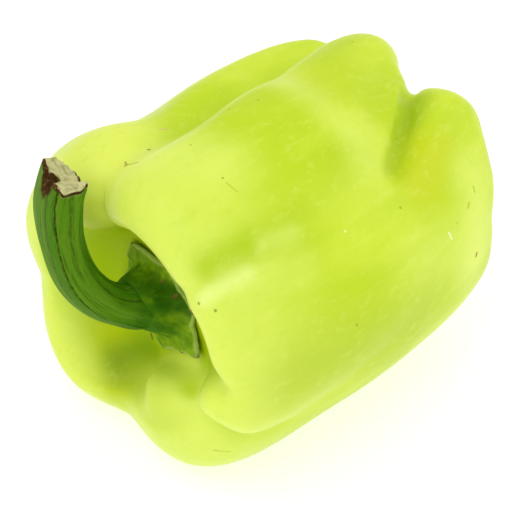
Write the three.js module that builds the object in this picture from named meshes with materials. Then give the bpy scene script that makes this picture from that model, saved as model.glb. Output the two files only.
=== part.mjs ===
// A pale green bell pepper lying on its side, with its hooked stem and its calyx.
//
// It is drawn in its own frame first: the core line runs along +X from the stem end to the blossom
// end, angles turn round +X from +Y towards +Z, and x = 0 is where the fruit is widest at the stem
// end. Then it is laid down on z = 0. All sizes are in millimetres, and angles in degrees.
import * as THREE from "three";

const { lerp, degToRad, smoothstep, euclideanModulo } = THREE.MathUtils;

// Fruit
const fruitLength = 79; // from the widest ring at the stem end to the one at the blossom end
const pitDepth = 5; // floor of the hollow round the stem, behind the widest ring
const pitRadius = 17; // radius of that floor, on which the calyx lies
const dimpleDepth = 8; // dimple at the blossom end, measured back from the last ring
const scarRadius = 3.5; // of the flat scar in the dimple, where the blossom was

// Crests of the six lobes, one of which is doubled at the stem end. at and to: angle at the stem
// end and at the blossom end. rim and rise: distance of the shoulder's top from the core line, and
// how far it stands out past the widest ring. reach, waist and end: distance of the skin from the
// core line at the stem end, halfway and at the blossom end. toe and foot: distance and height of
// the knob at the blossom end. wall: how far the hollow's wall bulges towards the stem, as a share
// of its length. late: where along the core line the twist starts.
const crests = [
  { at: 5, to: -16, rim: 31, rise: 8.5, reach: 44, waist: 43, end: 39, toe: 24, foot: 7 },
  { at: 56, to: 36, rim: 31, rise: 7, reach: 43, waist: 42, end: 40, toe: 25, foot: 5 },
  { at: 94, to: 69, rim: 34, rise: 7, reach: 42, waist: 41, end: 37.5, toe: 25, foot: 8.5 },
  { at: 162, to: 130, rim: 35.5, rise: 7.2, reach: 42, waist: 43, end: 39.8, toe: 28, foot: 8, late: 24 },
  { at: 187, to: 154, rim: 31, rise: 8.5, reach: 42.5, waist: 43, end: 39.5, toe: 25.5, foot: 6 },
  { at: 247, to: 208, rim: 30, rise: 8.5, reach: 45, waist: 44, end: 41, toe: 25, foot: 4, wall: 0.14 },
  { at: 305, to: 276, rim: 37, rise: 11, reach: 47.5, waist: 42.5, end: 41, toe: 24, foot: 7 },
];
// Grooves between each lobe and the next. tight: how narrow the groove is, 1 for a wide one.
const grooves = [
  { at: 28, to: 8, rim: 30, rise: 6, reach: 43, waist: 40, end: 36, toe: 20, foot: 3 },
  { at: 76, to: 50, rim: 31, rise: 1, reach: 37, waist: 33, end: 32, toe: 20, foot: 3 },
  { at: 136, to: 102, rim: 34, rise: 6, reach: 41, waist: 42, end: 32, toe: 19, foot: -4, late: 40 },
  { at: 175, to: 142, rim: 38.5, rise: 4.8, reach: 42, waist: 43, end: 39.5, toe: 26.5, foot: 7, late: 12 },
  { at: 204, to: 172, rim: 30, rise: 0, reach: 40, waist: 42.5, end: 39.8, toe: 22, foot: 3, tight: 1.4 },
  { at: 276, to: 244, rim: 32, rise: 5.5, reach: 42, waist: 38, end: 34, toe: 19, foot: 2, wall: -0.14 },
  { at: 344, to: 318, rim: 32, rise: 7, reach: 41, waist: 41, end: 37, toe: 22, foot: 5 },
];
// Shallow hollows in the skin. x and at: place along the core line and angle. wide: radius.
const dents = [
  { x: 24, at: 50, wide: 13, deep: 4 },
  { x: 50, at: 64, wide: 14, deep: 3 },
  { x: 58, at: 60, wide: 8, deep: 1.5 },
  { x: 60, at: 133, wide: 9, deep: 1.8 },
  { x: 1, at: 128, wide: 8, deep: 1.8 },
];
const fruitColumns = 90;
const fruitRows = 38;

// Calyx, a plate on the hollow's floor with seven short teeth
const gap = 0.3; // between pieces that touch
const calyxRadius = 11.8; // between the teeth
const calyxEdge = 1.1; // thickness at the edge
const bossRadius = 6.2; // flat top that the stem grows from
const bossHeight = 3.4; // of that top over the hollow's floor
// Teeth. at: angle. reach: length past the edge. wide: half width.
const teeth = [
  { at: 58, reach: 3.8, wide: 38 },
  { at: 108, reach: 3, wide: 24 },
  { at: 156, reach: 3.4, wide: 26 },
  { at: 204, reach: 5.2, wide: 28 },
  { at: 234, reach: 2.4, wide: 30 },
  { at: 264, reach: 3.4, wide: 20 },
  { at: 342, reach: 2.6, wide: 24 },
];
const tipLift = 0.8; // how far the tips of the teeth curl up from the floor
const calyxColumns = 60;

// Stem, ribbed, bent like a hook towards the upper side and cut on a slant
const stemRadius = 4.8;
const stemRootRadius = 6;
const stemCutRadius = 5.4;
const ribCount = 7;
const ribDepth = 0.25;
const stemLean = 12; // angle of the hook's plane from +Z towards +Y
const cutSlant = 29; // of the cut, whose face looks to the side of the hook
const cutFall = 5; // of the cut, towards the inside of the hook
const pithDepth = 0.8; // hollow in the cut's face
// Core line of the stem in the hook's plane, from its root: distance along the fruit's core line
// and distance out from it.
const stemRoot = pitDepth - gap - bossHeight - gap;
const stemPath = [
  [stemRoot, 0],
  [-3, 1.8],
  [-9.6, 6.8],
  [-14.2, 13],
  [-16.9, 20],
  [-17.7, 27],
  [-17.4, 32.5],
  [-16.5, 37],
  [-14.9, 40],
  [-13.2, 42.4],
];
const stemColumns = 42;
const stemRows = 24;

// How the pepper lies: turn round its core line, then tilt of that line, and depth of the flat
// spots where its lobes press on the surface
const lieRoll = -1;
const lieTilt = 1.5;
const flatDepth = 0.9;

// A closed skin over rings of points, from a pole to a pole. The rings turn right-handed round the
// way from the first pole to the last.
function skin(firstPole, rings, lastPole) {
  const width = rings[0].length;
  const last = rings.length - 1;
  const points = [firstPole, ...rings.flat(), lastPole];
  const at = (row, column) => 1 + row * width + (column % width);
  const index = [];
  for (let j = 0; j < width; j++) {
    index.push(0, at(0, j + 1), at(0, j));
    for (let i = 0; i < last; i++) {
      index.push(at(i, j), at(i, j + 1), at(i + 1, j));
      index.push(at(i + 1, j), at(i, j + 1), at(i + 1, j + 1));
    }
    index.push(at(last, j), at(last, j + 1), points.length - 1);
  }
  const geometry = new THREE.BufferGeometry().setFromPoints(points);
  geometry.setIndex(index);
  return geometry;
}

// Point at a place along the core line, an angle round it and a distance from it.
function polar(x, angle, radius) {
  const turn = degToRad(angle);
  return new THREE.Vector3(x, radius * Math.cos(turn), radius * Math.sin(turn));
}

// Smallest angle between two directions, with its sign.
function angleBetween(a, b) {
  return euclideanModulo(a - b + 180, 360) - 180;
}

// Crests and grooves in turn round the fruit.
const ridges = [...crests.map((crest) => ({ ...crest, isCrest: true })), ...grooves];
ridges.sort((a, b) => a.at - b.at);

// The sizes at an angle at the stem end: they lie between those of the crest and the groove beside
// it, so that crests are round and grooves are tight.
function sizesAt(angle) {
  const k = ridges.findIndex((ridge) => ridge.at > angle);
  const after = ridges[Math.max(k, 0)];
  const before = ridges.at(Math.max(k, 0) - 1);
  const along = euclideanModulo(angle - before.at, 360) / euclideanModulo(after.at - before.at, 360);
  const [groove, crest] = before.isCrest ? [after, before] : [before, after];
  const climb = Math.sin(((before.isCrest ? 1 - along : along) * Math.PI) / 2) ** (1 / (groove.tight ?? 1));
  const share = smoothstep(along, 0, 1);
  const turn = lerp(before.to - before.at, after.to - after.at, share);
  const late = lerp(before.late ?? 0, after.late ?? 0, share);
  const wall = lerp(before.wall ?? 0, after.wall ?? 0, share);
  const sizes = { turn, late, wall };
  for (const key of ["rim", "reach", "waist", "end", "toe"]) {
    sizes[key] = lerp(groove[key], crest[key], climb ** 1.5);
  }
  for (const key of ["rise", "foot"]) sizes[key] = lerp(groove[key], crest[key], climb ** 1.1);
  return sizes;
}

// Half outline of the fruit at one angle, from the hollow's floor over the shoulder to the dimple,
// as a curve of points (x, distance from the core line).
function outline({ wall, rim, rise, reach, waist, end, toe, foot }) {
  const points = [
    [pitDepth, 0],
    [pitDepth - 0.2, 0.5 * pitRadius],
    [pitDepth - 1, pitRadius],
    [lerp(pitDepth, -rise, 0.5 + wall), lerp(pitRadius, rim, 0.5 - wall)],
    [lerp(pitDepth, -rise, 0.92), lerp(pitRadius, rim, 0.8)],
    [-rise, rim],
    [-0.6 * rise, lerp(rim, reach, 0.72)],
    [6, reach],
    [0.28 * fruitLength, lerp(reach, waist, 0.7)],
    [0.55 * fruitLength, waist],
    [0.88 * fruitLength, end],
    [fruitLength + 0.5 * foot, lerp(toe, end, 0.7)],
    [fruitLength + foot, toe],
    [fruitLength + lerp(foot, -dimpleDepth, 0.68), 0.5 * toe],
    [fruitLength - dimpleDepth + 0.4, scarRadius],
    [fruitLength - dimpleDepth, 0],
  ];
  const vectors = points.map(([x, radius]) => new THREE.Vector3(x, radius, 0));
  return new THREE.CatmullRomCurve3(vectors, false, "centripetal");
}

// Ring points down one meridian of the fruit.
function fruitMeridian(angle) {
  const sizes = sizesAt(angle);
  const curve = outline(sizes);
  const points = [];
  for (let i = 1; i < fruitRows; i++) {
    const { x, y: radius } = curve.getPoint(i / fruitRows);
    const turned = angle + sizes.turn * smoothstep(x, sizes.late, fruitLength);
    let inset = 0;
    for (const dent of dents) {
      const across = degToRad(angleBetween(turned, dent.at)) * radius;
      inset += dent.deep * Math.exp(-((x - dent.x) ** 2 + across ** 2) / dent.wide ** 2);
    }
    points.push(polar(x, turned, radius - inset));
  }
  return points;
}

function fruitGeometry() {
  const meridians = [];
  for (let j = 0; j < fruitColumns; j++) meridians.push(fruitMeridian((360 * j) / fruitColumns));
  const rings = meridians[0].map((_, i) => meridians.map((meridian) => meridian[i]));
  return skin(polar(pitDepth, 0, 0), rings, polar(fruitLength - dimpleDepth, 0, 0));
}

// Place of the hollow's floor along the core line, at an angle and a distance from that line.
function floorAt(angle, radius) {
  const curve = outline(sizesAt(angle));
  let low = 0;
  let high = 0.25; // of the curve's length, well up the hollow's wall
  for (let i = 0; i < 24; i++) {
    const middle = (low + high) / 2;
    if (curve.getPoint(middle).y < radius) low = middle;
    else high = middle;
  }
  return curve.getPoint(low).x;
}

// Distance of the calyx's edge from the core line.
function calyxEdgeAt(angle) {
  let radius = calyxRadius;
  for (const tooth of teeth) {
    const beside = Math.abs(angleBetween(angle, tooth.at)) / tooth.wide;
    radius += tooth.reach * Math.max(0, 1 - beside) ** 1.4;
  }
  return radius;
}

function calyxGeometry() {
  // Share of the way out, and height over the floor: down the boss, out over the plate, round its
  // edge and back under it.
  const shape = [
    { out: 0.3, height: bossHeight, onBoss: true },
    { out: 1, height: bossHeight, onBoss: true },
    { out: 0.3, height: 0.62 * bossHeight },
    { out: 0.7, height: 1.5 * calyxEdge },
    { out: 0.95, height: calyxEdge },
    { out: 1, height: 0.5 * calyxEdge },
    { out: 0.95, height: 0 },
    { out: 0.5, height: 0 },
    { out: 0, height: 0 },
  ];
  const rings = shape.map(({ out, height, onBoss }) => {
    const ring = [];
    for (let j = 0; j < calyxColumns; j++) {
      const angle = (360 * j) / calyxColumns;
      const edge = calyxEdgeAt(angle);
      const radius = onBoss ? out * bossRadius : lerp(bossRadius, edge, out);
      const lift = tipLift * smoothstep(radius, calyxRadius, calyxRadius + 4);
      const x = onBoss ? pitDepth - gap - height : floorAt(angle, radius) - gap - height - lift;
      ring.push(polar(x, angle, radius));
    }
    return ring;
  });
  return skin(polar(pitDepth - gap - bossHeight, 0, 0), rings, polar(pitDepth - gap - 0.2, 0, 0));
}

// Distance of the stem's skin from its own core line, at a share of its length and an angle.
function stemRadiusAt(along, angle) {
  const flare = (stemRootRadius - stemRadius) * (1 - smoothstep(along, 0, 0.2));
  const club = (stemCutRadius - stemRadius) * smoothstep(along, 0.65, 1);
  return stemRadius + flare + club + ribDepth * Math.cos(ribCount * degToRad(angle));
}

function stemGeometry() {
  const path = new THREE.CatmullRomCurve3(
    stemPath.map(([x, out]) => new THREE.Vector3(x, out, 0)),
    false,
    "centripetal",
  );
  const side = new THREE.Vector3(0, 0, 1);
  const [slant, fall] = [cutSlant, cutFall].map((angle) => Math.tan(degToRad(angle)));
  // One ring across the stem. shrink: its size against the skin's. sunk: how far it lies back.
  const ringAt = (along, shrink = 1, sunk = 0) => {
    const heading = path.getTangentAt(along);
    heading.lerp(new THREE.Vector3(-1, 0, 0), 1 - smoothstep(along, 0, 0.12)).normalize();
    const over = new THREE.Vector3(-heading.y, heading.x, 0);
    const end = smoothstep(along, 0.7, 1);
    const ring = [];
    for (let j = 0; j < stemColumns; j++) {
      const angle = (360 * j) / stemColumns;
      const across = polar(0, angle, shrink * stemRadiusAt(along, angle));
      const back = end * (slant * across.z - fall * across.y) + sunk;
      ring.push(
        path
          .getPointAt(along)
          .addScaledVector(over, across.y)
          .addScaledVector(side, across.z)
          .addScaledVector(heading, -back),
      );
    }
    return ring;
  };
  const rings = [];
  for (let i = 0; i <= stemRows; i++) rings.push(ringAt(i / stemRows));
  rings.push(ringAt(1, 0.8, 0.4 * pithDepth));
  const [centre] = ringAt(1, 0, pithDepth);
  const geometry = skin(new THREE.Vector3(stemRoot, 0, 0), rings, centre);
  return geometry.applyMatrix4(new THREE.Matrix4().makeRotationX(degToRad(90 - stemLean)));
}

// The three pieces laid down, the fruit's lowest places pressed flat on the surface.
const lying = new THREE.Matrix4().makeRotationFromEuler(
  new THREE.Euler(degToRad(lieRoll), degToRad(lieTilt), 0, "YXZ"),
);

function pressFlat(geometry) {
  const position = geometry.getAttribute("position");
  geometry.computeBoundingBox();
  const surface = geometry.boundingBox.min.z + flatDepth;
  for (let i = 0; i < position.count; i++) position.setZ(i, Math.max(position.getZ(i), surface));
  return surface;
}

function piece(name, geometry, color, roughness) {
  geometry.computeVertexNormals();
  const mesh = new THREE.Mesh(geometry, new THREE.MeshStandardMaterial({ color, roughness, metalness: 0 }));
  mesh.name = name;
  return mesh;
}

const fruit = fruitGeometry().applyMatrix4(lying);
const surface = pressFlat(fruit);
const pepper = new THREE.Group();
pepper.add(
  piece("fruit", fruit, 0xcfea5c, 0.4),
  piece("calyx", calyxGeometry().applyMatrix4(lying), 0x638d08, 0.6),
  piece("stem", stemGeometry().applyMatrix4(lying), 0x44770b, 0.6),
);
const middle = new THREE.Box3().setFromObject(pepper).getCenter(new THREE.Vector3());
for (const mesh of pepper.children) mesh.geometry.translate(-middle.x, -middle.y, -surface);

export default pepper;
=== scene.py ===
import math

import bpy
import numpy as np
from mathutils import Matrix, Vector, noise
from mathutils.geometry import interpolate_bezier


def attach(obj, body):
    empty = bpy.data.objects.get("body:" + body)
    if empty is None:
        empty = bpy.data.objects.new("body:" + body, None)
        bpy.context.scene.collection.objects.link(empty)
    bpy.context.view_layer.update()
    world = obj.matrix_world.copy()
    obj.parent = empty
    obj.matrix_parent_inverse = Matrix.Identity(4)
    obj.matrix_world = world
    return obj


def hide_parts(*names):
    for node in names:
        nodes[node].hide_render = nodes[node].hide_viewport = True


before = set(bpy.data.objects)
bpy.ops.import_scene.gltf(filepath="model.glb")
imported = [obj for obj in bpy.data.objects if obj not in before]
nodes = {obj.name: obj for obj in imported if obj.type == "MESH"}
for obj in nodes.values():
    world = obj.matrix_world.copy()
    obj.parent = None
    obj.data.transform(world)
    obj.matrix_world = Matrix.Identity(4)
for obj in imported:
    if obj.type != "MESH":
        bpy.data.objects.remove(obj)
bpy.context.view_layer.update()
print("frame loaded:", ", ".join(sorted(nodes)))


# The core line runs from the stem end to the blossom end. Places on the pepper are written in
# millimetres in its own frame: along the core line, then two directions across it.
lying = {
    "roll": -1,  # degrees, round the core line
    "tilt": 1.5,  # degrees, of the core line
    "stemPole": 5,  # mm along the core line, of the middle of the hollow's floor
    "hookLean": 12,  # degrees, of the stem's plane
}


def makeActive(piece):
    bpy.ops.object.select_all(action="DESELECT")
    piece.select_set(True)
    bpy.context.view_layer.objects.active = piece


weldReach = 0.00001  # metres, between corners that are merged


def copyNode(nodeName, pieceName):
    piece = bpy.data.objects.new(pieceName, nodes[nodeName].data.copy())
    bpy.context.collection.objects.link(piece)
    piece.data.materials.clear()
    makeActive(piece)
    bpy.ops.object.mode_set(mode="EDIT")
    bpy.ops.mesh.select_all(action="SELECT")
    bpy.ops.mesh.remove_doubles(threshold=weldReach)
    bpy.ops.mesh.normals_make_consistent(inside=False)
    bpy.ops.object.mode_set(mode="OBJECT")
    return piece


def roundOff(piece, steps):
    makeActive(piece)
    bpy.ops.object.mode_set(mode="EDIT")
    bpy.ops.mesh.select_all(action="SELECT")
    bpy.ops.mesh.tris_convert_to_quads(
        face_threshold=math.radians(50), shape_threshold=math.radians(60), topology_influence=1.3
    )
    bpy.ops.object.mode_set(mode="OBJECT")
    subdivision = piece.modifiers.new("roundOff", "SUBSURF")
    subdivision.levels = subdivision.render_levels = steps
    bpy.ops.object.modifier_apply(modifier=subdivision.name)
    bpy.ops.object.shade_smooth()


def findCore(piece):
    # The two poles are where all the meridians meet.
    meeting = np.zeros(len(piece.data.vertices), int)
    for edge in piece.data.edges:
        for corner in edge.vertices:
            meeting[corner] += 1
    poles = [piece.data.vertices[int(k)].co for k in np.argsort(meeting)[-2:]]
    stemPole = min(poles, key=lambda pole: pole.x)
    turn = Matrix.Rotation(math.radians(lying["tilt"]), 4, "Y") @ Matrix.Rotation(
        math.radians(lying["roll"]), 4, "X"
    )
    start = stemPole - turn @ Vector((lying["stemPole"] / 1000, 0, 0))
    return Matrix.Translation(start) @ turn @ Matrix.Scale(0.001, 4)


skin = copyNode("fruit", "pepperSkin")
core = findCore(skin)  # from own millimetres to the row frame in metres
print("core line from", tuple(round(v, 4) for v in core @ Vector((5, 0, 0))))


def readPlaces(piece):
    flat = np.empty(3 * len(piece.data.vertices), np.float32)
    piece.data.vertices.foreach_get("co", flat)
    own = np.array(core.inverted())
    return flat.reshape(-1, 3).astype(float) @ own[:3, :3].T + own[:3, 3]


def readNormals(piece):
    flat = np.empty(3 * len(piece.data.vertices), np.float32)
    piece.data.vertices.foreach_get("normal", flat)
    turn = np.array(core.to_3x3().normalized())
    return flat.reshape(-1, 3).astype(float) @ turn


def writePlaces(piece, places):
    world = np.array(core)
    flat = places @ world[:3, :3].T + world[:3, 3]
    piece.data.vertices.foreach_set("co", flat.astype(np.float32).ravel())
    piece.data.update()


def keepValues(piece, name, values):
    # Three values at each vertex, for the materials.
    attribute = piece.data.attributes.new(name, "FLOAT_VECTOR", "POINT")
    attribute.data.foreach_set("vector", values.astype(np.float32).ravel())


def ramp(values, start, end):
    # 0 before the start and 1 past the end, smooth between them.
    share = np.clip((values - start) / (end - start), 0, 1)
    return share * share * (3 - 2 * share)


def swell(places, size, seed):
    # Smooth noise from -1 to 1 at each place, with blotches of the given size.
    shift = Vector((seed * 7.3, seed * 3.1, seed * 5.7))
    return np.array([noise.noise(Vector(p) / size + shift) for p in places])


class Signal:
    # A shader socket that can be used in sums.
    def __init__(self, finish, socket):
        self.finish = finish
        self.socket = socket

    def calc(self, operation, *others):
        return self.finish.calc(operation, self, *others)

    def __add__(self, other):
        return self.calc("ADD", other)

    def __sub__(self, other):
        return self.calc("SUBTRACT", other)

    def __rsub__(self, other):
        return self.finish.calc("SUBTRACT", other, self)

    def __mul__(self, other):
        return self.calc("MULTIPLY", other)

    def __truediv__(self, other):
        return self.calc("DIVIDE", other)

    __radd__ = __add__
    __rmul__ = __mul__


class Finish:
    def __init__(self, name, fixed):
        self.material = bpy.data.materials.new(name)
        self.material.use_nodes = True
        self.tree = self.material.node_tree
        self.shader = self.tree.nodes["Principled BSDF"]
        for socket, value in fixed.items():
            self.shader.inputs[socket].default_value = value

    def feed(self, socket, value):
        if isinstance(value, Signal):
            self.tree.links.new(value.socket, socket)
        else:
            socket.default_value = value

    def node(self, kind, settings, values, out=0):
        made = self.tree.nodes.new(kind)
        for key, value in settings.items():
            setattr(made, key, value)
        for key, value in values.items():
            self.feed(made.inputs[key], value)
        return Signal(self, made.outputs[out])

    def calc(self, operation, *values):
        return self.node("ShaderNodeMath", {"operation": operation}, dict(enumerate(values)))

    def vector(self, operation, a, b, out=0):
        return self.node("ShaderNodeVectorMath", {"operation": operation}, {0: a, 1: b}, out)

    def place(self):
        # Own millimetres at each point of the surface.
        back = core.inverted()
        where = self.node("ShaderNodeTexCoord", {}, {}, "Object")
        return self.node(
            "ShaderNodeMapping",
            {"vector_type": "POINT"},
            {
                "Vector": where,
                "Location": back.to_translation(),
                "Rotation": back.to_3x3().normalized().to_euler("XYZ"),
                "Scale": (1000, 1000, 1000),
            },
        )

    def read(self, name):
        return self.node("ShaderNodeAttribute", {"attribute_name": name}, {}, "Vector")

    def split(self, vector):
        parts = self.node("ShaderNodeSeparateXYZ", {}, {0: vector})
        return [Signal(self, out) for out in parts.socket.node.outputs]

    def step(self, value, start, end):
        # As ramp, in the shader.
        values = {"Value": value, "From Min": start, "From Max": end}
        return self.node("ShaderNodeMapRange", {"interpolation_type": "SMOOTHSTEP"}, values)

    def grain(self, where, stretch, size, detail=2, roughness=0.5):
        # Noise from 0 to 1 with blotches of the given size in millimetres, longer where stretched.
        values = {"Vector": self.vector("DIVIDE", where, stretch), "Scale": 1 / size}
        values.update({"Detail": detail, "Roughness": roughness})
        return self.node("ShaderNodeTexNoise", {}, values, "Fac")

    def mix(self, share, a, b):
        sockets = {0: share, 6: (*a, 1) if isinstance(a, tuple) else a}
        sockets[7] = (*b, 1) if isinstance(b, tuple) else b
        return self.node("ShaderNodeMix", {"data_type": "RGBA"}, sockets, 2)

    def spot(self, where, middle, width):
        return self.step(self.vector("DISTANCE", where, middle, "Value"), width, 0.4 * width)

    def line(self, where, start, end, width, solid):
        # 1 on a short straight line and for the solid share of its width beside it, 0 past that width.
        run = Vector(end) - Vector(start)
        lead = self.vector("SUBTRACT", where, start)
        share = self.vector("DOT_PRODUCT", lead, run, "Value") / run.length_squared
        share = share.calc("MAXIMUM", 0).calc("MINIMUM", 1)
        values = {0: run, "Scale": share}
        foot = self.node("ShaderNodeVectorMath", {"operation": "SCALE"}, values)
        return self.step(self.vector("DISTANCE", lead, foot, "Value"), width, solid * width)

    def bump(self, height, distance, strength=1.0, under=None):
        values = {"Height": height, "Distance": distance, "Strength": strength}
        if under is not None:
            values["Normal"] = under
        return self.node("ShaderNodeBump", {}, values)

    def connect(self, links):
        for key, value in links.items():
            self.feed(self.shader.inputs[key], value)
        return self.material


def around(x, angle, radius):
    turn = math.radians(angle)
    return Vector((x, radius * math.cos(turn), radius * math.sin(turn)))


fruitLook = {
    "steps": 2,  # of subdivision
    "swellSize": 9,  # mm, of the gentle unevenness of the skin
    "swellDepth": 0.1,
    "restClear": (0.0006, 0.004),  # metres over the floor where the folds and puffs begin
    "foldReach": 38,  # mm from the core line, where angles are turned into lengths
    "foldStart": (26, 30),  # mm from the core line, over which they set in
    "blotches": 17,  # sizes in mm
    "streaks": 2.2,
    "streakLength": 9,  # times as long as wide
    "mottles": 2.4,
    "flecks": 0.9,
    "ripples": 4,
    "pores": 0.5,
    "shoulder": (28, -6),  # mm along the core line, over which the pale blush sets in
    # The stem-end hollow, where a darker, more saturated green is painted as shade:
    "hollowRim": (33, 20),  # mm from the core line
    "hollowEnd": (30, 12),  # mm along it
    "dimpleRim": (22, 6),  # mm from the core line
    "scarRim": (4.6, 3.2),  # and of the dry scar in it
    "blossomEnd": (50, 66),  # mm along the core line, where these two are
    "coat": 0.25,
    "pale": (0.61, 0.75, 0.045),
    "green": (0.51, 0.67, 0.016),
    "hollow": (0.35, 0.50, 0.0004),
    "blush": (0.72, 0.84, 0.15),
    "scar": (0.34, 0.24, 0.09),
    # Folds of the skin: points (x, angle, height in mm) and width in mm, creases below zero
    "folds": [
        (
            [(92, 97, 0), (79, 104, -2.6), (72, 111, -2.8), (64, 121, -2.2), (56, 129, -1.1), (46, 135, 0)],
            2,
        ),
        ([(90, 90, 0), (80, 98, 1.8), (73, 105, 2.2), (65, 114, 2), (59, 121, 1), (50, 128, 0)], 3.4),
        ([(74, 119, 0.2), (66, 128, 0.5), (60, 135, 0.1)], 4),
        ([(50, 72, -0.6), (53, 88, -1.2), (53, 102, -0.4)], 6),
        (
            [(-7, 131.5, -0.3), (-1, 133, -0.9), (5, 133.5, -0.9), (11, 134.5, -0.5), (20, 136.5, 0)],
            2.6,
        ),
        ([(-6, 138, 0.3), (4, 138.5, 0.5), (13, 139, 0)], 3),
        ([(-5, 206, -0.7), (6, 205, -0.7), (12, 204, -0.2)], 2.2),
    ],
    # Puffs of the skin: (x, angle, distance from the core line), size and height in mm
    "puffs": [
        ((-3, 62, 26), 8, 4),
        ((-2, 82, 29), 6, 2),
        ((-1, 255, 22), 6, 2.6),
        ((-2, 238, 22), 7, 1.8),
        ((1, 277, 21), 4, -1.4),
        ((-5, 181, 30), 6, 1.3),
        ((78, 121, 36.5), 7, 1.2),
    ],
    # Painted shade and painted highlights along short lines, with some broad changes of tone: (x, angle,
    # distance from the core line), second end, width, share, colour
    "shadingAndTones": [
        ((17, 133, 41.5), (45, 121, 41.3), 10, 0.45, (0.45, 0.61, 0.008)),
        ((-1, 128.5, 38.7), (9, 129.5, 40.6), 6.5, 0.75, (0.40, 0.58, 0.003)),
        ((9, 130, 40.6), (24, 128, 41.8), 6, 0.4, (0.44, 0.60, 0.006)),
        ((64, 84, 36), (60, 94, 38), 13, 0.6, (0.49, 0.64, 0.008)),
        # Painted highlight: the pale streak along the front lobe's ridge, in three pieces
        ((-5, 137, 37), (5.3, 136.8, 40.4), 3.4, 0.55, (0.82, 0.92, 0.34)),
        ((12, 131.5, 41), (19, 133, 41.5), 4, 0.35, (0.74, 0.87, 0.20)),
        ((3, 137, 39.6), (17, 143, 41.5), 8, 0.3, (0.72, 0.85, 0.16)),
        ((46, 85, 40), (46, 114, 41), 7, 0.4, (0.72, 0.85, 0.15)),
        ((51, 115, 39), (46, 126, 40), 9, 0.45, (0.72, 0.85, 0.14)),
        # Painted shade in the crease beside the blossom-end knob
        ((72, 115, 34.4), (54, 134, 38.8), 6.5, 0.9, (0.34, 0.49, 0.003)),
        ((64, 135, 39.3), (57, 141, 40.5), 11, 0.85, (0.56, 0.64, 0.006)),
        ((50, 165, 42), (68, 172, 40.5), 16, 0.45, (0.72, 0.85, 0.14)),
        ((72, 150, 37), (68, 180, 39), 12, 0.6, (0.76, 0.88, 0.18)),
        ((6, 87, 41.4), (15, 102, 41.6), 14, 0.4, (0.80, 0.92, 0.20)),
        ((-3, 70, 37), (10, 62, 40), 15, 0.55, (0.79, 0.87, 0.14)),
        ((10, 177, 42.3), (45, 187, 42.5), 18, 0.75, (0.46, 0.60, 0.03)),
        # Painted shade on the hollow's inner wall that faces away from the light
        ((-1, 307, 24), (-5, 287, 29), 12.5, 0.95, (0.45, 0.56, 0.002)),
        ((-2, 293, 26), (3, 284, 20), 8, 0.8, (0.19, 0.32, 0.0002)),
        # Painted light on the lower lobe's lit inner wall
        ((-2, 258, 24), (-2, 218, 25.5), 11, 1, (0.74, 0.86, 0.14)),
        ((4, 222, 17), (3, 250, 18), 5.5, 0.75, (0.67, 0.81, 0.09)),
        ((-1, 220, 22), (0, 234, 21.5), 4.2, 0.8, (0.46, 0.62, 0.01)),
        ((-7, 295, 35), (-8, 325, 36), 9, 0.6, (0.72, 0.83, 0.12)),
        ((-6, 58, 27), (-5, 84, 31), 9, 0.75, (0.67, 0.80, 0.08)),
    ],
    # Small marks: (x, angle, distance from the core line), second end or None, width, colour
    "marks": [
        ((10.8, 74, 36.2), None, 0.6, (0.07, 0.10, 0.005)),
        ((2.2, 79, 37.5), None, 0.8, (0.27, 0.20, 0.002)),
        ((2.2, 79, 37.5), (3.1, 84, 39.4), 0.4, (0.38, 0.36, 0.02)),
        ((3.4, 76, 36.8), (2.2, 79, 37.5), 0.4, (0.36, 0.34, 0.02)),
        ((18.8, 64, 36.6), (20.8, 64, 35.7), 0.3, (0.62, 0.52, 0.20)),
        ((29.2, 85, 40.9), None, 0.45, (0.33, 0.43, 0.002)),
        ((36.1, 88, 40.9), None, 0.45, (0.36, 0.46, 0.003)),
        ((13.0, 108, 41.8), None, 0.4, (0.33, 0.41, 0.003)),
        ((12.9, 110, 41.7), (13.6, 114, 41.6), 0.24, (0.48, 0.58, 0.03)),
        ((13.7, 92, 41.7), None, 0.35, (0.38, 0.48, 0.003)),
        ((73.5, 76, 36.2), None, 0.5, (0.38, 0.50, 0.003)),
        ((-5.6, 138, 35.4), None, 0.5, (0.27, 0.33, 0.002)),
        ((-4.5, 142, 38.3), None, 0.5, (0.27, 0.33, 0.002)),
        ((26.6, 170, 42.8), None, 0.5, (0.31, 0.38, 0.003)),
        ((60.2, 124, 36.0), None, 0.4, (0.28, 0.40, 0.001)),
        ((47.6, 144, 42.0), None, 0.45, (0.33, 0.41, 0.003)),
        ((67.8, 158, 39.8), (68.4, 157, 39.7), 0.6, (0.46, 0.58, 0.003)),
        ((71.5, 155, 39.0), (71.5, 153, 39.0), 0.4, (0.46, 0.58, 0.003)),
        ((62.7, 160, 40.6), None, 0.4, (0.46, 0.58, 0.003)),
        ((69.2, 178, 40.0), (69.0, 179, 40.0), 0.6, (0.30, 0.15, 0.001)),
        ((59.2, 161, 41.2), (59.9, 164, 41.1), 0.35, (0.86, 0.92, 0.55)),
        ((31.1, 141, 42.3), None, 0.4, (0.82, 0.90, 0.45)),
        ((-4.3, 220, 36.5), (-2.2, 216, 38.8), 0.3, (0.46, 0.50, 0.05)),
        ((40.5, 202, 43.2), (44.9, 204, 43.4), 0.3, (0.50, 0.56, 0.08)),
        ((4.2, 287, 16.0), (4.1, 284, 17.0), 0.5, (0.12, 0.09, 0.01)),
    ],
}


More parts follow.
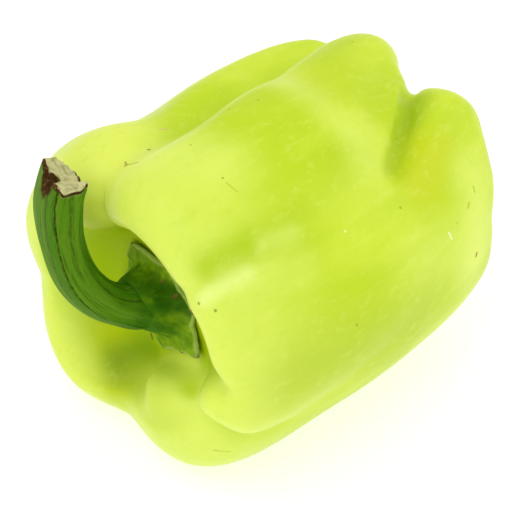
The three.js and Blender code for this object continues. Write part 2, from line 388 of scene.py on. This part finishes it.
def shapeSkin():
    look = fruitLook
    roundOff(skin, look["steps"])
    places, normals = readPlaces(skin), readNormals(skin)
    level = np.array([v.co.z for v in skin.data.vertices])
    lift = look["swellDepth"] * swell(places, look["swellSize"], 1)
    lift += 0.4 * look["swellDepth"] * swell(places, 0.4 * look["swellSize"], 2)
    radius = np.hypot(places[:, 1], places[:, 2])
    angle = np.degrees(np.arctan2(places[:, 2], places[:, 1]))
    for points, width in look["folds"]:
        nearest = np.full(len(places), np.inf)
        height, total = np.zeros(len(places)), np.zeros(len(places))
        for (x1, a1, h1), (x2, a2, h2) in zip(points, points[1:]):
            turn = np.radians((angle - a1 + 180) % 360 - 180)
            run = np.stack([places[:, 0] - x1, turn * radius], 1)
            way = np.array([x2 - x1, math.radians(a2 - a1) * look["foldReach"]])
            share = np.clip(run @ way / (way @ way), 0, 1)
            away = np.linalg.norm(run - share[:, None] * way, axis=1)
            weight = np.exp(-((away / width) ** 2)) + 1e-9  # so that none is zero far away
            height += weight * (h1 + share * (h2 - h1))
            total += weight
            nearest = np.minimum(away, nearest)
        lift += height / total * np.exp(-((nearest / width) ** 2)) * ramp(radius, *look["foldStart"])
    for middle, size, height in look["puffs"]:
        away = np.linalg.norm(places - np.array(around(*middle)), axis=1)
        lift += height * np.exp(-((away / size) ** 2))
    lift *= ramp(level, *look["restClear"])  # the places it rests on stay flat
    writePlaces(skin, places + normals * lift[:, None])


def onSkin(x, angle, distance):
    # The nearest place of the finished skin.
    spot = skin.closest_point_on_mesh(core @ around(x, angle, distance))[1]
    return core.inverted() @ spot


def skinFinish():
    look = fruitLook
    finish = Finish(
        "waxyPaleGreen",
        {
            "Subsurface Weight": 0.4,
            "Subsurface Radius": (1.0, 0.9, 0.25),
            "Subsurface Scale": 0.004,
            "Specular IOR Level": 0.05,
            "Coat Roughness": 0.35,
        },
    )
    where = finish.place()
    x, y, z = finish.split(where)
    out = (y * y + z * z).calc("SQRT")
    blotches = finish.grain(where, (2.2, 1, 1), look["blotches"], 2)
    streaks = finish.grain(where, (look["streakLength"], 1, 1), look["streaks"], 3)
    colour = finish.mix(finish.step(blotches, 0.34, 0.66), look["pale"], look["green"])
    colour = finish.mix(finish.step(streaks, 0.42, 0.7) * 0.14, colour, look["green"])
    colour = finish.mix(finish.step(streaks, 0.42, 0.3) * 0.1, colour, look["blush"])
    shoulder = finish.step(x, *look["shoulder"])
    colour = finish.mix(shoulder * (0.35 + 0.5 * blotches), colour, look["blush"])
    # Painted shade: a darker, more saturated green painted into the stem-end hollow.
    inside = finish.step(out, *look["hollowRim"]) * finish.step(x, *look["hollowEnd"])
    colour = finish.mix(inside, colour, look["hollow"])
    # Painted shade in creases and hollows and painted highlights on lit ridges and walls, with some broad
    # tone
    for start, end, width, share, tint in look["shadingAndTones"]:
        shadingAndTone = finish.line(where, around(*start), around(*end), width, 0)
        colour = finish.mix(shadingAndTone * share, colour, tint)
    blossomEnd = finish.step(x, *look["blossomEnd"])
    dimple = finish.step(out, *look["dimpleRim"]) * blossomEnd
    colour = finish.mix(dimple * 0.6, colour, look["green"])
    scar = finish.step(out + 1.6 * finish.grain(where, (1, 1, 1), 1.2), *look["scarRim"])
    scar = scar * blossomEnd
    colour = finish.mix(scar, colour, look["scar"])
    openSkin = 1 - inside
    mottles = finish.grain(where, (1.5, 1, 1), look["mottles"], 4, 0.65)
    colour = finish.mix(finish.step(mottles, 0.5, 0.72) * openSkin * 0.22, colour, look["blush"])
    colour = finish.mix(finish.step(mottles, 0.46, 0.3) * openSkin * 0.2, colour, look["green"])
    flecks = finish.step(finish.grain(where, (1, 1, 1), look["flecks"], 2, 0.6), 0.66, 0.78)
    colour = finish.mix(flecks * openSkin * 0.35, colour, look["blush"])
    for start, end, width, tint in look["marks"]:
        if end is None:
            mark = finish.spot(where, onSkin(*start), width)
        else:
            mark = finish.line(where, onSkin(*start), onSkin(*end), width, 0.3)
        colour = finish.mix(mark * 0.9, colour, tint)
    pores = finish.grain(where, (1, 1, 1), look["pores"], 2, 0.6)
    ripples = finish.grain(where, (1.6, 1, 1), look["ripples"], 3)
    relief = finish.bump(ripples, 0.0005, 0.4)
    relief = finish.bump(pores, 0.00005, 0.4, relief)
    return finish.connect(
        {
            "Base Color": colour,
            "Roughness": 0.34 + 0.1 * ripples + 0.35 * scar,
            "Coat Weight": look["coat"] * (1 - scar) * openSkin,
            "Normal": relief,
        }
    )


shapeSkin()
skin.data.materials.append(skinFinish())
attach(skin, "root")
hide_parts("fruit")
print("fruit shaped:", len(skin.data.polygons), "faces")


calyxLook = {
    "steps": 3,  # of subdivision
    "plate": 11.8,  # mm, radius between the teeth
    # Teeth: angle, reach past the plate, half width in degrees
    "teeth": [
        (58, 3.8, 38), (108, 3, 24), (156, 3.4, 26), (204, 5.2, 28),
        (234, 2.4, 30), (264, 3.4, 20), (342, 2.6, 24),
    ],
    "veins": (-15, 0, 13),  # degrees from the middle of each tooth
    "veinWidth": 0.35,  # mm
    "crumples": [(0.55, 3.6, 3), (0.2, 1.4, 4)],  # height and size in mm, seed
    "edgeLift": 0.3,  # mm
    "sink": 0.22,  # mm that it sits down on the fruit
    "collar": 5.5,  # mm that its middle climbs round the stem
    "collarEdges": (11.5, 5.8),  # mm from the core line, at the collar's foot and top
    "blotches": 2.6,  # sizes in mm
    "specks": 0.6,
    "leaf": (0.20, 0.35, 0.002),
    "deep": (0.042, 0.135, 0.001),
    "root": (0.042, 0.135, 0.002),
    "vein": (0.26, 0.39, 0.03),
    "rim": (0.40, 0.50, 0.11),
    "dry": (0.16, 0.09, 0.02),
    # The stem's green runs out over its near side: written as the fruit's tones
    "shadingAndTones": [
        ((0.7, 96, 6.2), (3.1, 152, 14.5), 5, 0.95, (0.012, 0.078, 0.0003)),
        ((0.7, 181, 5.7), (2.5, 175, 8.4), 4, 0.6, (0.035, 0.115, 0.0005)),
    ],
    # Dry streaks: both ends and the width
    "marks": [((2.3, 82, 7.9), (2.5, 111, 9.6), 1.0), ((2.3, 139, 7.9), (2.8, 137, 10.4), 0.7)],
}


def shapeCalyx():
    look = calyxLook
    piece = copyNode("calyx", "pepperCalyx")
    roundOff(piece, look["steps"])
    places, normals = readPlaces(piece), readNormals(piece)
    radius = np.hypot(places[:, 1], places[:, 2])
    angle = np.degrees(np.arctan2(places[:, 2], places[:, 1]))
    edge = np.full(len(radius), float(look["plate"]))
    tip = np.zeros(len(radius))
    vein = np.zeros(len(radius))
    for at, reach, wide in look["teeth"]:
        beside = np.abs((angle - at + 180) % 360 - 180)
        edge += reach * np.maximum(0, 1 - beside / wide) ** 1.4
        tip = np.maximum(tip, np.exp(-((beside / 9) ** 2)))
        for off in look["veins"]:
            aside = np.abs((angle - at - off * (1.3 - radius / 20) + 180) % 360 - 180)
            aside = np.radians(aside) * radius
            vein = np.maximum(vein, np.exp(-((aside / look["veinWidth"]) ** 2)))
    share = radius / edge
    top = normals[:, 0] < 0.2
    crumple = sum(height * swell(places, size, seed) for height, size, seed in look["crumples"])
    lift = crumple * ramp(share, 0.45, 0.8) + 0.1 * vein * ramp(share, 0.4, 0.6)
    lift += look["edgeLift"] * np.exp(-(((share - 0.97) / 0.05) ** 2))
    places += normals * (lift * top)[:, None]
    places[:, 0] += look["sink"] * (~top) * ramp(radius, 1, 3)
    climb = look["collar"] * ramp(radius, *look["collarEdges"]) ** 1.7 * ramp(radius, 5, 5.6) * top
    places[:, 0] -= climb
    lean = math.radians(lying["hookLean"])
    places += np.outer(0.5 * climb, (0, math.sin(lean), math.cos(lean)))
    writePlaces(piece, places)
    keepValues(piece, "plate", np.stack([share, tip * ramp(share, 0.8, 1), vein], 1))
    return piece


def calyxFinish():
    look = calyxLook
    finish = Finish(
        "leafyCalyx",
        {
            "Subsurface Weight": 0.15,
            "Subsurface Radius": (0.6, 1.0, 0.2),
            "Subsurface Scale": 0.0015,
            "Specular IOR Level": 0.04,
        },
    )
    where = finish.place()
    share, tip, vein = finish.split(finish.read("plate"))
    blotches = finish.grain(where, (1, 1, 1), look["blotches"], 3, 0.6)
    specks = finish.grain(where, (1, 1, 1), look["specks"], 2, 0.6)
    colour = finish.mix(finish.step(blotches, 0.35, 0.65), look["deep"], look["leaf"])
    colour = finish.mix(finish.step(share, 0.55, 0.85) * 0.5, colour, look["leaf"])
    colour = finish.mix(finish.step(specks, 0.5, 0.75) * 0.3, colour, look["vein"])
    colour = finish.mix(vein * finish.step(share, 0.4, 0.6) * 0.2, colour, look["vein"])
    colour = finish.mix(finish.step(share + 0.08 * blotches, 0.76, 0.5), colour, look["root"])
    for start, end, width, amount, tint in look["shadingAndTones"]:
        shadingAndTone = finish.line(where, around(*start), around(*end), width, 0.4)
        colour = finish.mix(shadingAndTone * (amount - 0.3 * specks), colour, tint)
    colour = finish.mix(finish.step(share + 0.04 * specks, 0.95, 1.0) * 0.75, colour, look["rim"])
    colour = finish.mix(finish.step(tip + 0.25 * blotches, 0.9, 1.1), colour, look["dry"])
    for start, end, width in look["marks"]:
        mark = finish.line(where, around(*start), around(*end), width, 0.2)
        colour = finish.mix(mark * finish.step(specks, 0.35, 0.5), colour, look["dry"])
    relief = finish.bump(blotches, 0.0006, 0.5)
    relief = finish.bump(specks, 0.00015, 0.6, relief)
    return finish.connect(
        {"Base Color": colour, "Roughness": 0.5 + 0.2 * specks, "Normal": relief}
    )


calyx = shapeCalyx()
calyx.data.materials.append(calyxFinish())
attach(calyx, "root")
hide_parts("calyx")
print("calyx shaped:", len(calyx.data.polygons), "faces")


stemLook = {
    "steps": 3,  # of subdivision
    # The hook's middle line: mm along the core line and out from it
    "route": [
        (1, 0), (-3, 1.8), (-9.6, 6.8), (-14.2, 13), (-16.9, 20),
        (-17.7, 27), (-17.4, 32.5), (-16.5, 37), (-14.9, 40), (-13.2, 42.4),
    ],
    "cutSlant": 29,  # degrees, of the cut towards the side
    "cutFall": 5,  # and towards the inside of the hook
    # Grooves down the skin: angle, depth in mm, where they start along the stem. The first is the deepest.
    "grooves": [(46, 0.45, 0), (84, 0.22, 26), (20, 0.16, 8), (122, 0.25, 0), (160, 0.2, 0)],
    "grooveWidth": 0.3,  # mm
    "ribs": (0.22, 0.14),  # mm, the broad ones and the fine ones
    "split": (8, 24, 0.8),  # below the cut: angle, half width in degrees, depth in mm
    "ragged": [(0.5, 1.6, 7), (0.2, 0.5, 8)],  # on the cut: height and size in mm, seed
    "green": (0.050, 0.170, 0.003),
    "dark": (0.010, 0.070, 0.001),
    "light": (0.105, 0.24, 0.010),
    # Bloom, also used as a painted sheen down the hook's outer side
    "bloomAndSheen": (0.17, 0.28, 0.05),
    "pith": (0.58, 0.55, 0.27),
    "pithShade": (0.33, 0.33, 0.13),
    "bark": (0.045, 0.020, 0.006),
    "rust": (0.17, 0.10, 0.025),
    "flare": 1.1,  # mm that the stem is thicker where it leaves the calyx, on the hook's inner side
    "nearLift": 3.2,  # mm that the cut is higher at its near inner corner
}


def hookLine():
    lean = math.radians(lying["hookLean"])
    route = [Vector((x, out * math.sin(lean), out * math.cos(lean))) for x, out in stemLook["route"]]
    ends = [2 * route[0] - route[1], *route, 2 * route[-1] - route[-2]]
    line = []
    for before, a, b, after in zip(ends, ends[1:], ends[2:], ends[3:]):
        line += interpolate_bezier(a, a + (b - before) / 6, b - (after - a) / 6, b, 24)[:-1]
    line.append(route[-1])
    return np.array(line)


def straighten(places):
    # Each place as if the hook were straight: towards its outer side, towards its near side, along.
    line = hookLine()
    steps = np.linalg.norm(np.diff(line, axis=0), axis=1)
    length = np.concatenate([[0], np.cumsum(steps)])
    heading = np.gradient(line, axis=0)
    heading /= np.linalg.norm(heading, axis=1)[:, None]
    lean = math.radians(lying["hookLean"])
    side = np.array([0, -math.cos(lean), math.sin(lean)])
    outer = np.cross(side, heading)
    nearest = np.empty(len(places), int)
    for start in range(0, len(places), 4000):
        part = places[start : start + 4000]
        nearest[start : start + 4000] = np.linalg.norm(part[:, None] - line[None], axis=2).argmin(1)
    off = places - line[nearest]
    along = length[nearest] + np.einsum("ij,ij->i", off, heading[nearest])
    across = np.einsum("ij,ij->i", off, outer[nearest])
    near = off @ side
    face = heading[-1] + math.tan(math.radians(stemLook["cutSlant"])) * side
    face -= math.tan(math.radians(stemLook["cutFall"])) * outer[-1]
    face /= np.linalg.norm(face)
    depth = (places - line[-1]) @ face  # over the plane of the cut
    return np.stack([across, near, along], 1), heading[-1], depth, face


def shapeStem():
    look = stemLook
    piece = copyNode("stem", "pepperStem")
    roundOff(piece, look["steps"])
    places, normals = readPlaces(piece), readNormals(piece)
    straight, heading, depth, face = straighten(places)
    angle = np.degrees(np.arctan2(straight[:, 1], straight[:, 0]))
    radius = np.hypot(straight[:, 0], straight[:, 1])
    along = straight[:, 2]
    cut = ramp(depth, -1.6, -0.9) * ramp(normals @ face, 0.35, 0.7)
    turn = np.radians(angle)
    folds = np.stack([2.4 * np.cos(turn), 2.4 * np.sin(turn), along / 30], 1)
    broad, fine = look["ribs"]
    lift = broad * swell(folds, 1, 5) + fine * swell(folds * (2.3, 2.3, 1.6), 1, 6)
    lift += look["flare"] * ramp(along, 12, 4.5) * ramp(straight[:, 0], 4.5, -0.5)
    crease = np.zeros(len(along))
    for at, deep, start in look["grooves"]:
        wander = 3 * np.sin(along / 7 + at)
        beside = np.radians(np.abs((angle - at - wander + 180) % 360 - 180)) * radius
        here = np.exp(-((beside / look["grooveWidth"]) ** 2))
        here *= ramp(along, start - 3, start + 3)
        lift -= deep * here
        crease = np.maximum(crease, here * deep / look["grooves"][0][1])
    splitAngle, splitWidth, splitDepth = look["split"]
    split = np.exp(-(((angle - splitAngle) / splitWidth) ** 2)) * ramp(depth, -8, 0)
    lift -= splitDepth * split * (1 - cut)
    lift *= (1 - cut) * ramp(along, 0.3, 2)
    places += normals * lift[:, None]
    ragged = sum(height * swell(places, size, seed) for height, size, seed in look["ragged"])
    places += np.outer((ragged - 1.1 * split) * ramp(depth, -2.2, -0.4), face)
    corner = look["nearLift"] * ramp(straight[:, 1], 0.5, 4.5) * ramp(straight[:, 0], 3, -2.5)
    places += np.outer(corner * ramp(depth, -9, 0), heading)
    places[:, 0] += 0.6 * (1 - ramp(along, 0, 1.2)) * ramp(-normals[:, 0], 0.2, -0.6)
    writePlaces(piece, places)
    keepValues(piece, "straight", straight)
    rim = 0.9 * np.minimum(1, 4 * cut * (1 - cut)) + 1.3 * split
    rim = np.maximum(rim, 0.8 * ramp(np.abs(straight[:, 0] + 0.4), 2.8, 4.4) * ramp(depth, -2.5, -0.5))
    keepValues(piece, "cutFace", np.stack([cut, rim, crease], 1))
    return piece


def stemFinish():
    look = stemLook
    finish = Finish(
        "ribbedGreenStem",
        {
            "Subsurface Weight": 0.1,
            "Subsurface Radius": (0.5, 1.0, 0.2),
            "Subsurface Scale": 0.001,
            "Specular IOR Level": 0.015,
        },
    )
    straight = finish.read("straight")
    cut, rim, crease = finish.split(finish.read("cutFace"))
    across, near, along = finish.split(straight)
    fibres = finish.grain(straight, (1, 1, 14), 0.8, 4, 0.6)
    bands = finish.grain(straight, (1, 1, 10), 3.2, 2)
    ticks = finish.grain(straight, (1, 1, 3), 0.35, 2, 0.6)
    colour = finish.mix(finish.step(bands, 0.35, 0.65), look["green"], look["light"])
    colour = finish.mix(finish.step(fibres, 0.52, 0.75) * 0.7, colour, look["dark"])
    colour = finish.mix(finish.step(fibres, 0.45, 0.3) * 0.35, colour, look["bloomAndSheen"])
    # Painted sheen: the hook's outer side is made paler and greyer, partly bloom and partly a painted
    # highlight.
    outer = finish.step(across - 0.5 * near, 1.5, 4.5)
    colour = finish.mix(outer * (0.25 + 0.5 * fibres), colour, look["bloomAndSheen"])
    root = finish.step(along, 13, 4)
    colour = finish.mix(root * 0.5, colour, look["dark"])
    colour = finish.mix(crease * finish.step(ticks, 0.35, 0.6), colour, look["bark"])
    colour = finish.mix(finish.step(ticks, 0.66, 0.76) * 0.85, colour, look["dark"])
    threads = finish.grain(straight, (1, 1, 30), 0.35, 2, 0.6)
    colour = finish.mix(finish.step(threads, 0.55, 0.72) * 0.5, colour, look["dark"])
    # More of the painted sheen on the outer side, along the fine threads.
    colour = finish.mix(finish.step(threads, 0.45, 0.3) * outer * 0.5, colour, look["bloomAndSheen"])
    where = finish.place()
    marbling = finish.grain(where, (1, 1, 1), 1.6, 4, 0.6)
    pith = finish.mix(finish.step(marbling, 0.3, 0.6), look["pithShade"], look["pith"])
    colour = finish.mix(cut, colour, pith)
    brown = finish.step(rim + 0.9 * (marbling - 0.5), 0.4, 0.75)
    rust = finish.grain(where, (1, 1, 1), 0.8, 3, 0.6)
    bark = finish.mix(finish.step(rust, 0.48, 0.72) * 0.8, look["bark"], look["rust"])
    colour = finish.mix(brown, colour, bark)
    relief = finish.bump(fibres, 0.0005, 0.5)
    relief = finish.bump(ticks, 0.00015, 0.5, relief)
    roughness = 0.42 + 0.2 * fibres + 0.25 * cut
    return finish.connect({"Base Color": colour, "Roughness": roughness, "Normal": relief})


stem = shapeStem()
stem.data.materials.append(stemFinish())
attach(stem, "root")
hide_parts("stem")
print("stem shaped:", len(stem.data.polygons), "faces")


viewing = {
    "aim": (36, 0, 0),  # own mm
    "from": (-0.497, -0.552, 0.669),
    "aimRight": 0.49,  # mm that the aim moves in the picture
    "aimUp": -6.55,
    "distance": 420,
    "lens": 118,
}


def placeCamera():
    back = Vector(viewing["from"]).normalized()
    right = Vector((0, 0, 1)).cross(back).normalized()
    up = back.cross(right)
    aim = Vector(viewing["aim"])
    eye = aim + viewing["distance"] * back
    aim += viewing["aimRight"] * right + viewing["aimUp"] * up
    turn = core.to_3x3().normalized()
    look = (turn @ (eye - aim)).normalized()
    across = (turn @ Vector((0, 0, 1))).cross(look).normalized()
    matrix = Matrix((across, look.cross(across), look)).transposed().to_4x4()
    matrix.translation = core @ eye
    camera = bpy.data.objects.new("camera", bpy.data.cameras.new("camera"))
    camera.data.lens = viewing["lens"]
    camera.data.sensor_width = 36
    camera.data.clip_start, camera.data.clip_end = 0.01, 20
    camera.matrix_world = matrix
    bpy.context.collection.objects.link(camera)
    bpy.context.scene.camera = camera


worldStrength = 0.75
floorGlow = 0.56
# Soft boxes: place and size in metres, watts
softBoxes = {
    "keyBox": ((-0.3, 0.0, 0.8), 0.6, 2.0),
    "rightBox": ((0.6, -0.35, 0.45), 0.5, 1.3),
    "lowBox": ((-0.6, -0.35, 0.2), 0.4, 0.5),
}


def placeLights():
    for name, (place, size, watts) in softBoxes.items():
        light = bpy.data.lights.new(name, "AREA")
        light.shape, light.size, light.energy = "SQUARE", size, watts
        box = bpy.data.objects.new(name, light)
        box.location = place
        box.rotation_euler = (Vector(place) - Vector((0, 0, 0.04))).to_track_quat("Z", "Y").to_euler()
        bpy.context.collection.objects.link(box)
    world = bpy.data.worlds.new("paleStudio")
    world.use_nodes = True
    world.node_tree.nodes["Background"].inputs["Color"].default_value = (1, 1, 0.99, 1)
    world.node_tree.nodes["Background"].inputs["Strength"].default_value = worldStrength
    bpy.context.scene.world = world


def placeFloor():
    bpy.ops.object.select_all(action="DESELECT")
    bpy.ops.mesh.primitive_plane_add(size=6, location=(0, 0, 0))
    floor = bpy.context.active_object
    floor.name = "paleFloor"
    finish = Finish(
        "paleFloor",
        {
            "Base Color": (0.6, 0.6, 0.6, 1),
            "Roughness": 0.6,
            "Specular IOR Level": 0.1,
            "Emission Color": (1, 1, 1, 1),
            "Emission Strength": floorGlow,
        },
    )
    floor.data.materials.append(finish.material)


placeCamera()
placeLights()
placeFloor()
bpy.context.scene.view_settings.view_transform = "Standard"
bpy.context.scene.view_settings.look = "None"
print("camera, light and floor placed")
